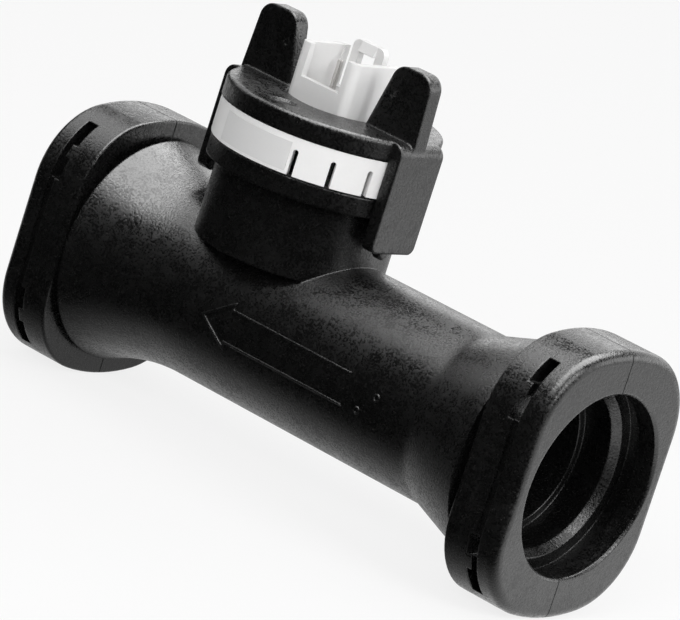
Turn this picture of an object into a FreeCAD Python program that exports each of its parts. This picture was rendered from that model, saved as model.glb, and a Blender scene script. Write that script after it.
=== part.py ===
import FreeCAD, Part
import math
import os

import Sketcher

# Vortex flow sensor for a heating boiler. Millimetres. +X runs along the tube from the outlet to the inlet,
# +Z runs up the sensor head, and the origin is the centre of the outlet mouth.

# Driving dimensions

DIMENSIONS = {
    # Measuring tube
    "tube_length": 101.0,
    "passage_radius": 10.0,
    "tube_wall": 3.5,
    "outlet_flare_length": 17.0,
    "inlet_flare_length": 12.6,
    "flare_step": 2.8,
    # End collars
    "collar_thickness": 9.8,
    "collar_wall": 5.2,
    "collar_side_wall": 1.7,
    "collar_crown": 33.0,
    "collar_corner": 12.4,
    "collar_edge": 1.5,
    "collar_inner_edge": 0.4,
    "cove_width": 1.0,
    "cove_wall": 2.7,
    # Sockets in the collars
    "mouth_radius": 14.0,
    "mouth_depth": 3.4,
    "mouth_chamfer": 0.35,
    "clip_groove_depth": 1.2,
    "clip_groove_width": 2.6,
    "lead_in_step": 0.6,
    "lead_in_length": 1.1,
    "seal_bore_step": 1.7,
    "seal_bore_depth": 12.0,
    "throat_step": 1.1,
    "throat_length": 5.0,
    # Clip slots in the front wall of each collar
    "slot_width": 2.0,
    "slot_waist_width": 1.1,
    "slot_end_drop": 3.0,
    "slot_window": 3.4,
    "slot_bridge": 2.0,
    "slot_depth": 8.0,
    "slot_waist_depth": 0.6,
    # Neck that carries the sensor head
    "head_position": 37.5,
    "neck_step": 2.0,
    "neck_overlap": 3.7,
    "neck_height": 8.5,
    "neck_wall": 2.1,
    "rim_step": 0.2,
    "rim_height": 2.8,
    "lug_height": 2.9,
    "lug_grip": 0.9,
    "lug_half_width": 2.6,
    "floor_wall": 3.0,
    "insert_bore_radius": 6.3,
    # Bluff body across the passage
    "bluff_offset": 9.5,
    "bluff_length": 6.0,
    "bluff_front_width": 4.8,
    "bluff_back_width": 2.2,
    "bluff_anchor": 0.8,
    # Sensor insert, paddle and seal
    "insert_clearance": 0.1,
    "insert_reach": 1.4,
    "insert_flange": 2.0,
    "seal_groove_drop": 2.7,
    "seal_groove_width": 1.8,
    "seal_groove_radius": 4.9,
    "seal_cord_radius": 0.66,
    "paddle_reach": 3.5,
    "paddle_width": 5.2,
    "paddle_thickness": 2.2,
    "paddle_root": 1.6,
    "paddle_root_radius": 3.6,
    "strip_width": 2.6,
    "strip_thickness": 0.6,
    "strip_cover": 2.0,
    "strip_stand": 1.6,
    "lead_radius": 0.25,
    # Board carrier, board and its parts
    "carrier_wall": 1.5,
    "carrier_floor": 1.2,
    "carrier_hole_radius": 3.2,
    "carrier_height": 6.0,
    "board_thickness": 1.2,
    "chip_length": 5.0,
    "chip_width": 4.0,
    "chip_height": 1.5,
    "chip_offset": 5.2,
    "regulator_length": 3.0,
    "regulator_width": 2.6,
    "regulator_height": 1.2,
    "regulator_offset": 5.6,
    "capacitor_length": 2.0,
    "capacitor_width": 1.25,
    "capacitor_height": 0.9,
    "capacitor_spacing": 2.2,
    "resistor_length": 1.6,
    "resistor_width": 0.8,
    "resistor_height": 0.5,
    "resistor_spacing": 1.6,
    "row_inset": 4.6,
    # White cover with its snap skirt and plug header
    "skirt_radius": 16.4,
    "skirt_wall": 1.5,
    "skirt_height": 5.7,
    "cover_plate": 1.4,
    "gasket_thickness": 0.3,
    "gasket_width": 0.8,
    "skirt_slot_width": 0.8,
    "skirt_slot_height": 3.9,
    "skirt_slot_pitch": 20.0,
    "skirt_slot_first": -64.4,
    "skirt_slot_count": 3,
    "pedestal_radius": 7.3,
    "pedestal_height": 1.0,
    "header_half_length": 5.75,
    "header_front": 5.3,
    "header_back": 4.6,
    "header_wall": 1.2,
    "header_corner": 1.3,
    "header_height": 11.0,
    "socket_depth": 7.3,
    "header_window_depth": 5.0,
    "header_rib": 2.05,
    "latch_half_width": 3.05,
    "latch_thickness": 1.2,
    "latch_slot": 1.25,
    "latch_slot_depth": 6.1,
    "latch_rise": 1.7,
    "latch_eye_half_width": 1.55,
    "latch_eye_height": 2.6,
    "latch_bar": 1.6,
    "latch_corner": 1.1,
    "latch_ramp": 0.65,
    "pin_half_width": 0.32,
    "pin_spacing": 2.0,
    "pin_count": 4,
    "pin_row": 1.7,
    "pin_drop": 1.9,
    # Label pad on the skirt
    "label_thickness": 0.12,
    "label_margin": 0.5,
    "label_height": 4.3,
    "label_middle": -90.5,
    "label_sweep": 46.0,
    # Black clip cap
    "cap_step": 0.1,
    "cap_thickness": 3.1,
    "cap_edge": 0.7,
    "cap_hole_radius": 7.5,
    "cap_mark_radius": 1.85,
    "cap_mark_place": 11.9,
    "cap_mark_depth": 0.4,
    "arm_step": 1.4,
    "arm_thickness": 1.9,
    "arm_half_width": 4.9,
    "arm_reach": 4.5,
    "arm_corner": 1.2,
    "arm_shoulder": 1.8,
    "arm_pocket_half_width": 2.9,
    "arm_pocket_depth": 1.1,
    "arm_pocket_headroom": 0.3,
    "ear_front": -2.1,
    "ear_thickness": 2.7,
    "ear_height": 10.2,
    "ear_root_gap": 0.3,
    "ear_inner_lean": 2.45,
    "ear_outer_inset": 0.2,
    "ear_outer_lean": 0.7,
    "ear_corner": 2.4,
    "ear_mark_radius": 0.45,
    "ear_mark_drop": 4.5,
    "ear_mark_inset": 3.2,
    "ear_mark_depth": 0.15,
    "fit_gap": 0.1,
}


# Sheet of driving dimensions and the sizes read from it

document = FreeCAD.newDocument("FlowSensor")
sheet = document.addObject("Spreadsheet::Sheet", "Sizes")
for row, (alias, number) in enumerate(DIMENSIONS.items(), start=1):
    sheet.set("A%d" % row, alias)
    sheet.set("B%d" % row, str(number))
    sheet.setAlias("B%d" % row, alias)
document.recompute()


class Size:
    """A number together with the sheet formula that it follows."""

    def __init__(self, value, formula):
        self.value = float(value)
        self.formula = formula

    def joined(self, other, sign, value):
        return Size(value, "(%s %s %s)" % (self.formula, sign, as_size(other).formula))

    def __add__(self, other):
        return self.joined(other, "+", self.value + as_size(other).value)

    def __sub__(self, other):
        return self.joined(other, "-", self.value - as_size(other).value)

    def __mul__(self, other):
        return self.joined(other, "*", self.value * as_size(other).value)

    def __truediv__(self, other):
        return self.joined(other, "/", self.value / as_size(other).value)

    def __neg__(self):
        return self * -1.0

    def root(self):
        return Size(math.sqrt(self.value), "sqrt(%s)" % self.formula)

    def at_most(self, other):
        limit = as_size(other)
        return Size(min(self.value, limit.value), "min(%s; %s)" % (self.formula, limit.formula))


def as_size(number):
    """A plain number as a size whose formula is the number itself."""
    if isinstance(number, Size):
        return number
    return Size(number, repr(float(number)))


def size(alias):
    """The sheet's cell of that name."""
    return Size(sheet.get(alias), "Sizes.%s" % alias)


def bind(target, path, amount):
    """Sets one property of an object from a size."""
    target.setExpression(path, as_size(amount).formula)


# Bodies, sketches and features

NODES = []


def new_body(label):
    """A body for one piece, listed for export."""
    body = document.addObject("PartDesign::Body", label)
    body.Label = label
    body.Placement = FreeCAD.Placement()
    NODES.append(body)
    return body


def list_piece(piece, label):
    """Names a piece that is built from primitives and lists it for export."""
    piece.Label = label
    NODES.append(piece)
    return piece


def new_sketch(body, name, role, normal_offset=0.0, along=0.0):
    """A sketch on one of the body's own planes, shifted along its normal and along its first axis."""
    sketch = body.newObject("Sketcher::SketchObject", name)
    plane = [item for item in body.Origin.OriginFeatures if item.Role == role][0]
    sketch.AttachmentSupport = [(plane, "")]
    sketch.MapMode = "FlatFace"
    bind(sketch, "AttachmentOffset.Base.z", normal_offset)
    bind(sketch, "AttachmentOffset.Base.x", along)
    return sketch


def turn_about_head(sketch, angle):
    """Turns a sketch on the XZ plane about its vertical axis, to face an angle round the head."""
    base = sketch.AttachmentOffset.Base
    sketch.AttachmentOffset = FreeCAD.Placement(base, FreeCAD.Rotation(FreeCAD.Vector(0, 1, 0), 1.0))
    bind(sketch, "AttachmentOffset.Rotation.Angle", as_size(angle) + 90.0)


def pin_point(sketch, geometry, position, x, y, tag):
    """Holds one point of a sketch at a place measured from its origin."""
    for kind, amount in (("DistanceX", as_size(x)), ("DistanceY", as_size(y))):
        index = sketch.addConstraint(Sketcher.Constraint(kind, -1, 1, geometry, position, amount.value))
        label = "%s_%s" % (kind, tag)
        sketch.renameConstraint(index, label)
        sketch.setExpression("Constraints.%s" % label, amount.formula)


def draw_circle(sketch, radius, x=0.0, y=0.0):
    """A circle whose centre and radius are held."""
    radius = as_size(radius)
    centre = FreeCAD.Vector(as_size(x).value, as_size(y).value, 0)
    number = sketch.addGeometry(Part.Circle(centre, FreeCAD.Vector(0, 0, 1), radius.value), False)
    pin_point(sketch, number, 3, x, y, "centre%d" % number)
    index = sketch.addConstraint(Sketcher.Constraint("Radius", number, radius.value))
    sketch.renameConstraint(index, "radius%d" % number)
    sketch.setExpression("Constraints.radius%d" % number, radius.formula)


def arc_between(start, end, radius, left):
    """The arc of under half a turn from start to end that bulges left or right, and its point order."""
    chord = end - start
    middle = (start + end) * 0.5
    normal = FreeCAD.Vector(-chord.y, chord.x, 0).normalize()
    reach = math.sqrt(max(radius ** 2 - (chord.Length / 2) ** 2, 0.0))
    centre = middle - normal * reach if left else middle + normal * reach
    first, last = (end, start) if left else (start, end)
    first_angle = math.atan2(first.y - centre.y, first.x - centre.x)
    last_angle = math.atan2(last.y - centre.y, last.x - centre.x)
    circle = Part.Circle(centre, FreeCAD.Vector(0, 0, 1), radius)
    return Part.ArcOfCircle(circle, first_angle, last_angle), (2, 1) if left else (1, 2)


def draw_outline(sketch, corners):
    """A closed outline through corners of (x, y), or (x, y, radius, side) where an arc starts there."""
    points = [FreeCAD.Vector(as_size(corner[0]).value, as_size(corner[1]).value, 0) for corner in corners]
    orders = []
    numbers = []
    for index, corner in enumerate(corners):
        start = points[index]
        end = points[(index + 1) % len(points)]
        if len(corner) == 2:
            geometry, order = Part.LineSegment(start, end), (1, 2)
        else:
            geometry, order = arc_between(start, end, as_size(corner[2]).value, corner[3] == "left")
        numbers.append(sketch.addGeometry(geometry, False))
        orders.append(order)
    for index, number in enumerate(numbers):
        following = (index + 1) % len(numbers)
        sketch.addConstraint(Sketcher.Constraint("Coincident", number, orders[index][1],
                                                 numbers[following], orders[following][0]))
    for index, (corner, number) in enumerate(zip(corners, numbers)):
        pin_point(sketch, number, orders[index][0], corner[0], corner[1], "corner%d" % number)
        if len(corner) > 2:
            radius = as_size(corner[2])
            place = sketch.addConstraint(Sketcher.Constraint("Radius", number, radius.value))
            sketch.renameConstraint(place, "radius%d" % number)
            sketch.setExpression("Constraints.radius%d" % number, radius.formula)


def draw_rectangle(sketch, left, bottom, right, top):
    """A rectangle between two corners."""
    draw_outline(sketch, [(left, bottom), (right, bottom), (right, top), (left, top)])


def draw_rounded_rectangle(sketch, half_length, bottom, top, corner):
    """A rectangle with round corners about the sketch's vertical axis."""
    straight = half_length - corner
    draw_outline(sketch, [
        (straight, bottom, corner, "right"),
        (half_length, bottom + corner),
        (half_length, top - corner, corner, "right"),
        (straight, top),
        (-straight, top, corner, "right"),
        (-half_length, top - corner),
        (-half_length, bottom + corner, corner, "right"),
        (-straight, bottom),
    ])


def draw_side_pair(sketch, near, far, half_width):
    """Two equal rectangles on either side of the sketch's vertical axis."""
    draw_rectangle(sketch, near, -half_width, far, half_width)
    draw_rectangle(sketch, -as_size(far), -half_width, -as_size(near), half_width)


def pad(body, name, sketch, length, reverse=False):
    """Material raised from a sketch."""
    feature = body.newObject("PartDesign::Pad", name)
    feature.Profile = sketch
    feature.Reversed = reverse
    bind(feature, "Length", length)
    body.Tip = feature
    document.recompute()
    return feature


def cut_volume_check(before, feature):
    """Stops where a cut has removed nothing."""
    document.recompute()
    if feature.Shape.Volume > before - 1e-6:
        raise RuntimeError("%s removes nothing" % feature.Name)
    return feature


def pocket(body, name, sketch, depth, reverse=False):
    """Material cut from a sketch."""
    before = body.Tip.Shape.Volume
    feature = body.newObject("PartDesign::Pocket", name)
    feature.Profile = sketch
    feature.Reversed = reverse
    bind(feature, "Length", depth)
    body.Tip = feature
    return cut_volume_check(before, feature)


def revolve(body, name, sketch, axis):
    """A full turn of a sketch about one of its own axes, added to the body."""
    feature = body.newObject("PartDesign::Revolution", name)
    feature.Profile = sketch
    feature.ReferenceAxis = (sketch, [axis])
    feature.Angle = 360.0
    body.Tip = feature
    document.recompute()
    return feature


def groove(body, name, sketch, axis):
    """A full turn of a sketch about one of its own axes, cut from the body."""
    before = body.Tip.Shape.Volume
    feature = body.newObject("PartDesign::Groove", name)
    feature.Profile = sketch
    feature.ReferenceAxis = (sketch, [axis])
    feature.Angle = 360.0
    body.Tip = feature
    return cut_volume_check(before, feature)


def dress(body, name, kind, amount, chosen):
    """A fillet or chamfer on the edges of the last feature that a test picks."""
    base = body.Tip
    edges = ["Edge%d" % number for number, edge in enumerate(base.Shape.Edges, start=1) if chosen(edge)]
    if not edges:
        raise RuntimeError("%s finds no edge" % name)
    feature = body.newObject("PartDesign::%s" % kind, name)
    feature.Base = (base, edges)
    bind(feature, "Radius" if kind == "Fillet" else "Size", amount)
    body.Tip = feature
    document.recompute()
    return feature


# Tests that pick edges

TOUCH = 1e-3

# The largest rounding of two neighbouring corners, as a share of the edge between them

CORNER_SHARE = 0.45

# A rounded slot end is drawn a little wider than half the slot, so that it stays under half a turn

ROUND_END = 1.0001

# A cut runs past the material that it ends on by this factor

PAST = 1.2


def is_near(value, goal):
    """Whether two lengths are the same."""
    return abs(value - as_size(goal).value) < TOUCH


def runs_along(edge, axis):
    """Whether an edge is straight and parallel to an axis, 0 for X, 1 for Y and 2 for Z."""
    if edge.Curve.TypeId != "Part::GeomLine":
        return False
    direction = edge.tangentAt(edge.FirstParameter)
    return abs(abs(direction[axis]) - 1.0) < TOUCH


def lies_in(edge, axis, place):
    """Whether an edge lies wholly in a plane across an axis."""
    box = edge.BoundBox
    low, high = ((box.XMin, box.XMax), (box.YMin, box.YMax), (box.ZMin, box.ZMax))[axis]
    return is_near(low, place) and is_near(high, place)


def reach_from_tube(edge):
    """The largest distance of an edge from the tube's axis."""
    return max(math.hypot(point.y, point.z) for point in edge.discretize(9))



# Measuring tube with its collars, sockets, neck and bluff body, one moulding

head_x = size("head_position")
tube_end = size("tube_length")
waist_radius = size("passage_radius") + size("tube_wall")
clip_groove_radius = size("mouth_radius") + size("clip_groove_depth")
collar_radius = clip_groove_radius + size("collar_wall")
collar_half_width = clip_groove_radius + size("collar_side_wall")
collar_crown_fall = size("collar_crown") - (
    size("collar_crown") * size("collar_crown") - collar_half_width * collar_half_width).root()
flare_radius = collar_radius - size("flare_step")
seal_bore_radius = size("mouth_radius") - size("seal_bore_step")
throat_radius = size("passage_radius") + size("throat_step")

# Radii of the head

neck_radius = size("skirt_radius") - size("neck_step")
rim_radius = size("skirt_radius") - size("rim_step")
cavity_radius = neck_radius - size("neck_wall")
cap_radius = size("skirt_radius") + size("cap_step")
arm_outer = size("skirt_radius") + size("arm_step")
arm_inner = arm_outer - size("arm_thickness")

# Levels up the head

cavity_floor = size("passage_radius") + size("floor_wall")
rim_bottom = cavity_floor + size("neck_height")
rim_top = rim_bottom + size("rim_height")
skirt_bottom = rim_top + size("gasket_thickness")
cover_top = skirt_bottom + size("skirt_height")
cap_top = cover_top + size("cap_thickness")


def arc_radius_of(length, drop):
    """The radius of an arc that ends along the tube after a given length and drop."""
    return (length * length + drop * drop) / (drop * 2.0)


def socket_profile(face, inward):
    """Corners of one socket's section, from the mouth to the passage; inward is 1 or -1 along X."""
    depths = [
        (size("mouth_chamfer") * -1.0, size("mouth_radius") + size("mouth_chamfer") * 2.0),
        (size("mouth_chamfer"), size("mouth_radius")),
        (size("mouth_depth"), size("mouth_radius")),
        (size("mouth_depth"), clip_groove_radius),
        (size("mouth_depth") + size("clip_groove_width"), clip_groove_radius),
        (size("mouth_depth") + size("clip_groove_width"), size("mouth_radius") - size("lead_in_step")),
        (size("mouth_depth") + size("clip_groove_width") + size("lead_in_length"), seal_bore_radius),
        (size("seal_bore_depth"), seal_bore_radius),
        (size("seal_bore_depth"), throat_radius),
        (size("seal_bore_depth") + size("throat_length"), size("passage_radius")),
    ]
    return [(face + depth * inward, radius) for depth, radius in depths]


def build_collar(body, name, face, inward):
    """One end collar: flat sides, crowned top and bottom, round shoulders and a rounded outer edge."""
    sketch = new_sketch(body, name + "_outline", "YZ_Plane", face)
    half_width = collar_half_width
    corner = collar_radius - collar_crown_fall
    draw_outline(sketch, [
        (half_width, corner, size("collar_crown"), "right"),
        (-half_width, corner),
        (-half_width, -corner, size("collar_crown"), "right"),
        (half_width, -corner),
    ])
    collar = pad(body, name, sketch, size("collar_thickness"), reverse=inward < 0)
    low, high = sorted((face.value, (face + size("collar_thickness") * inward).value))

    def is_shoulder(edge):
        box = edge.BoundBox
        inside = box.XMin > low - TOUCH and box.XMax < high + TOUCH
        return inside and runs_along(edge, 0) and is_near(abs(edge.CenterOfMass.y), half_width)

    dress(body, name + "_shoulders", "Fillet", size("collar_corner"), is_shoulder)
    outer = collar_half_width.value - TOUCH
    dress(body, name + "_outer_edge", "Fillet", size("collar_edge"),
          lambda edge: lies_in(edge, 0, face) and reach_from_tube(edge) > outer)
    back = face + size("collar_thickness") * inward
    rim_reach = flare_radius.value + TOUCH
    dress(body, name + "_inner_edge", "Fillet", size("collar_inner_edge"),
          lambda edge: lies_in(edge, 0, back) and reach_from_tube(edge) > rim_reach)
    return collar


def build_clip_slots(body, name, face, inward):
    """The pipe clip's slot in one collar's front wall: deep windows, narrow bridges, a shallow middle."""
    mouth_side = face + size("mouth_depth") * inward
    narrow_side = mouth_side + size("slot_waist_width") * inward
    wide_side = mouth_side + size("slot_width") * inward
    end = collar_radius - size("slot_end_drop")
    bridge_top = end - size("slot_window")
    bridge_bottom = bridge_top - size("slot_bridge")
    middle = bridge_bottom - size("slot_window")
    windows = new_sketch(body, name + "_windows_outline", "XZ_Plane", collar_half_width)
    for side in (1.0, -1.0):
        draw_outline(windows, [
            (mouth_side, middle * side),
            (wide_side, middle * side),
            (wide_side, bridge_bottom * side),
            (narrow_side, bridge_bottom * side),
            (narrow_side, bridge_top * side),
            (wide_side, bridge_top * side),
            (wide_side, end * side),
            (mouth_side, end * side),
        ])
    pocket(body, name + "_windows", windows, size("slot_depth"))
    waist = new_sketch(body, name + "_middle_outline", "XZ_Plane", collar_half_width)
    draw_rectangle(waist, mouth_side, -middle, narrow_side, middle)
    pocket(body, name + "_middle", waist, size("slot_waist_depth"))


def build_flow_tube():
    """The tube: flared barrel, two collars, neck with rim and lugs, sockets, cavity and bluff body."""
    body = new_body("flow_tube")
    outlet_start = size("collar_thickness") + size("cove_width")
    outlet_end = outlet_start + size("outlet_flare_length")
    inlet_start = tube_end - size("collar_thickness") - size("cove_width")
    inlet_end = inlet_start - size("inlet_flare_length")
    outlet_drop = flare_radius - waist_radius
    cove_radius = seal_bore_radius + size("cove_wall")

    profile = new_sketch(body, "barrel_profile", "XZ_Plane")
    draw_outline(profile, [
        (size("collar_thickness"), 0.0),
        (tube_end - size("collar_thickness"), 0.0),
        (tube_end - size("collar_thickness"), cove_radius),
        (inlet_start, cove_radius),
        (inlet_start, flare_radius),
        (inlet_end, waist_radius),
        (outlet_end, waist_radius,
         arc_radius_of(size("outlet_flare_length"), outlet_drop), "left"),
        (outlet_start, flare_radius),
        (outlet_start, cove_radius),
        (size("collar_thickness"), cove_radius),
    ])
    revolve(body, "barrel", profile, "H_Axis")

    build_collar(body, "outlet_collar", as_size(0.0), 1)
    build_collar(body, "inlet_collar", tube_end, -1)

    neck_bottom = waist_radius - size("neck_overlap")
    neck = new_sketch(body, "neck_outline", "XY_Plane", neck_bottom, head_x)
    draw_circle(neck, neck_radius)
    pad(body, "neck", neck, rim_top - neck_bottom)
    rim = new_sketch(body, "rim_outline", "XY_Plane", rim_bottom, head_x)
    draw_circle(rim, rim_radius)
    pad(body, "rim", rim, size("rim_height"))
    seats = new_sketch(body, "arm_seats_outline", "XY_Plane", rim_top, head_x)
    draw_side_pair(seats, arm_inner - size("fit_gap"), rim_radius * PAST,
                   size("arm_half_width") + size("fit_gap"))
    pocket(body, "arm_seats", seats, size("rim_height"))
    lugs = new_sketch(body, "lugs_outline", "XY_Plane", rim_bottom, head_x)
    draw_side_pair(lugs, cavity_radius, arm_inner + size("lug_grip"), size("lug_half_width"))
    pad(body, "lugs", lugs, size("lug_height"), reverse=True)

    bore = new_sketch(body, "bore_profile", "XZ_Plane")
    outlet = socket_profile(as_size(0.0), 1)
    inlet = socket_profile(tube_end, -1)
    draw_outline(bore, [(outlet[0][0], 0.0)] + outlet + inlet[::-1] + [(inlet[0][0], 0.0)])
    groove(body, "bore", bore, "H_Axis")

    cavity = new_sketch(body, "cavity_profile", "XZ_Plane", 0.0, head_x)
    draw_outline(cavity, [
        (0.0, 0.0),
        (size("insert_bore_radius"), 0.0),
        (size("insert_bore_radius"), cavity_floor),
        (cavity_radius, cavity_floor),
        (cavity_radius, rim_top * PAST),
        (0.0, rim_top * PAST),
    ])
    groove(body, "cavity", cavity, "V_Axis")

    front = size("bluff_offset") + size("bluff_length")
    bluff_reach = size("passage_radius") + size("bluff_anchor")
    bluff = new_sketch(body, "bluff_outline", "XY_Plane", -bluff_reach, head_x)
    draw_outline(bluff, [
        (size("bluff_offset"), -size("bluff_back_width") / 2.0),
        (front, -size("bluff_front_width") / 2.0),
        (front, size("bluff_front_width") / 2.0),
        (size("bluff_offset"), size("bluff_back_width") / 2.0),
    ])
    pad(body, "bluff_body", bluff, bluff_reach * 2.0)

    build_clip_slots(body, "outlet_slot", as_size(0.0), 1)
    build_clip_slots(body, "inlet_slot", tube_end, -1)
    return body


# Sensor insert, paddle, piezo strip, seal and leads

insert_bottom = size("passage_radius") - size("insert_reach")
insert_radius = size("insert_bore_radius") - size("insert_clearance")
flange_top = cavity_floor + size("insert_flange")
flange_radius = cavity_radius - size("insert_clearance")
paddle_root_top = insert_bottom + size("paddle_root")
seal_groove_bottom = cavity_floor - size("seal_groove_drop")
strip_bottom = size("strip_cover") - size("paddle_reach")
board_seat = flange_top + size("carrier_height")


def build_sensor_insert():
    """The round plug that seals the neck and holds the paddle."""
    body = new_body("sensor_insert")
    groove_top = seal_groove_bottom + size("seal_groove_width")
    profile = new_sketch(body, "insert_profile", "XZ_Plane", 0.0, head_x)
    draw_outline(profile, [
        (0.0, insert_bottom),
        (insert_radius, insert_bottom),
        (insert_radius, seal_groove_bottom),
        (size("seal_groove_radius"), seal_groove_bottom),
        (size("seal_groove_radius"), groove_top),
        (insert_radius, groove_top),
        (insert_radius, cavity_floor),
        (flange_radius, cavity_floor),
        (flange_radius, flange_top),
        (0.0, flange_top),
    ])
    revolve(body, "insert", profile, "V_Axis")
    root = new_sketch(body, "paddle_seat_outline", "XY_Plane", insert_bottom, head_x)
    draw_circle(root, size("paddle_root_radius"))
    pocket(body, "paddle_seat", root, size("paddle_root"), reverse=True)
    slit = new_sketch(body, "strip_slit_outline", "XY_Plane", flange_top, head_x)
    gap = size("fit_gap")
    half_width = size("strip_width") / 2.0 + gap
    half_thickness = size("strip_thickness") / 2.0 + gap
    draw_rectangle(slit, -half_width, -half_thickness, half_width, half_thickness)
    pocket(body, "strip_slit", slit, flange_top - paddle_root_top)
    return body


def build_sensing_paddle():
    """The blade that the vortices push from side to side, with its round root."""
    body = new_body("sensing_paddle")
    blade = new_sketch(body, "blade_outline", "XY_Plane", -size("paddle_reach"), head_x)
    half_width = size("paddle_width") / 2.0
    half_thickness = size("paddle_thickness") / 2.0
    straight = half_width - half_thickness
    draw_outline(blade, [
        (-straight, -half_thickness),
        (straight, -half_thickness, half_thickness * ROUND_END, "right"),
        (straight, half_thickness),
        (-straight, half_thickness, half_thickness * ROUND_END, "right"),
    ])
    pad(body, "blade", blade, paddle_root_top + size("paddle_reach"))
    root = new_sketch(body, "root_outline", "XY_Plane", insert_bottom, head_x)
    draw_circle(root, size("paddle_root_radius"))
    pad(body, "root", root, size("paddle_root"))
    slit = new_sketch(body, "strip_pocket_outline", "XY_Plane", paddle_root_top, head_x)
    draw_rectangle(slit, -size("strip_width") / 2.0, -size("strip_thickness") / 2.0,
                   size("strip_width") / 2.0, size("strip_thickness") / 2.0)
    pocket(body, "strip_pocket", slit, paddle_root_top - strip_bottom)
    return body


def placed_box(label, low, high):
    """A Part box between two corners of sizes."""
    box = document.addObject("Part::Box", label)
    for name, first, last in zip(("Length", "Width", "Height"), low, high):
        bind(box, name, as_size(last) - first)
    for axis, first in zip("xyz", low):
        bind(box, "Placement.Base.%s" % axis, first)
    return box


def placed_cylinder(label, radius, low, high, x, y):
    """An upright Part cylinder."""
    cylinder = document.addObject("Part::Cylinder", label)
    bind(cylinder, "Radius", radius)
    bind(cylinder, "Height", as_size(high) - low)
    bind(cylinder, "Placement.Base.x", x)
    bind(cylinder, "Placement.Base.y", y)
    bind(cylinder, "Placement.Base.z", low)
    return cylinder


def build_piezo_strip():
    """The ceramic strip cast into the paddle."""
    half_width = size("strip_width") / 2.0
    half_thickness = size("strip_thickness") / 2.0
    strip_top = flange_top + size("strip_stand")
    strip = placed_box("piezo_strip_box", (head_x - half_width, -half_thickness, strip_bottom),
                       (head_x + half_width, half_thickness, strip_top))
    return list_piece(strip, "piezo_strip")


def build_insert_seal():
    """The O-ring in the groove of the insert."""
    ring = document.addObject("Part::Torus", "insert_seal_ring")
    middle = (size("seal_groove_radius") + size("insert_bore_radius")) / 2.0
    bind(ring, "Radius1", middle)
    bind(ring, "Radius2", size("seal_cord_radius"))
    bind(ring, "Placement.Base.x", head_x)
    bind(ring, "Placement.Base.z", seal_groove_bottom + size("seal_groove_width") / 2.0)
    return list_piece(ring, "insert_seal")


def build_piezo_leads():
    """Two wires from the strip's faces up to the underside of the board."""
    for number, side in ((1, -1), (2, 1)):
        offset = (size("strip_thickness") / 2.0 + size("lead_radius")) * side
        lead = placed_cylinder("lead_%d" % number, size("lead_radius"), flange_top, board_seat,
                               head_x, offset)
        list_piece(lead, "piezo_lead_%d" % number)


# Board carrier, board and its parts

board_top = board_seat + size("board_thickness")


def build_board_carrier():
    """The cup in the neck that holds the board above the insert."""
    body = new_body("board_carrier")
    inner = flange_radius - size("carrier_wall")
    profile = new_sketch(body, "carrier_profile", "XZ_Plane", 0.0, head_x)
    draw_outline(profile, [
        (size("carrier_hole_radius"), flange_top),
        (flange_radius, flange_top),
        (flange_radius, board_seat),
        (inner, board_seat),
        (inner, flange_top + size("carrier_floor")),
        (size("carrier_hole_radius"), flange_top + size("carrier_floor")),
    ])
    revolve(body, "carrier", profile, "V_Axis")
    return body


def build_circuit_board():
    """The round board with the holes of the plug's pins."""
    body = new_body("circuit_board")
    outline = new_sketch(body, "board_outline", "XY_Plane", board_seat, head_x)
    draw_circle(outline, flange_radius)
    pad(body, "board", outline, size("board_thickness"))
    holes = new_sketch(body, "pin_holes_outline", "XY_Plane", board_top, head_x)
    draw_pin_row(holes)
    pocket(body, "pin_holes", holes, size("board_thickness"))
    return body


header_top = cover_top + size("header_height")
socket_floor = header_top - size("socket_depth")


def pin_places():
    """Where the pins stand along X, measured from the head's axis."""
    count = int(round(size("pin_count").value))
    first = size("pin_spacing") * (-(count - 1) / 2.0)
    return [first + size("pin_spacing") * float(index) for index in range(count)]


def draw_pin_row(sketch):
    """The square outlines of the row of pins."""
    half = size("pin_half_width")
    for place in pin_places():
        draw_rectangle(sketch, place - half, size("pin_row") - half, place + half, size("pin_row") + half)


def board_block(label, x, y, kind):
    """A block that stands on the board, with the sizes of its kind."""
    half_length = size(kind + "_length") / 2.0
    half_width = size(kind + "_width") / 2.0
    return placed_box(label, (head_x + x - half_length, y - half_width, board_top),
                      (head_x + x + half_length, y + half_width, board_top + size(kind + "_height")))


def build_board_parts():
    """The chip, the regulator and the two rows of small parts."""
    for label, kind, side in (("signal_chip", "chip", 1.0), ("voltage_regulator", "regulator", -1.0)):
        block = board_block(kind + "_box", as_size(0.0), size(kind + "_offset") * side, kind)
        list_piece(block, label)
    row_offset = flange_radius - size("row_inset")
    rows = (("capacitors", -1.0, 3, "capacitor"), ("resistors", 1.0, 4, "resistor"))
    for label, side, count, kind in rows:
        blocks = []
        for index in range(count):
            y = size(kind + "_spacing") * (index - (count - 1) / 2.0)
            blocks.append(board_block("%s_%d" % (kind, index + 1), row_offset * side, y, kind))
        group = document.addObject("Part::Compound", label + "_group")
        group.Links = blocks
        list_piece(group, label)


def build_contact_pins():
    """The square pins that run from the board up into the header."""
    half = size("pin_half_width")
    for number, place in enumerate(pin_places(), start=1):
        pin = placed_box("pin_%d" % number,
                         (head_x + place - half, size("pin_row") - half, board_seat),
                         (head_x + place + half, size("pin_row") + half, header_top - size("pin_drop")))
        list_piece(pin, "contact_pin_%d" % number)


# White cover: snap skirt, plate and plug header, one moulding

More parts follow.
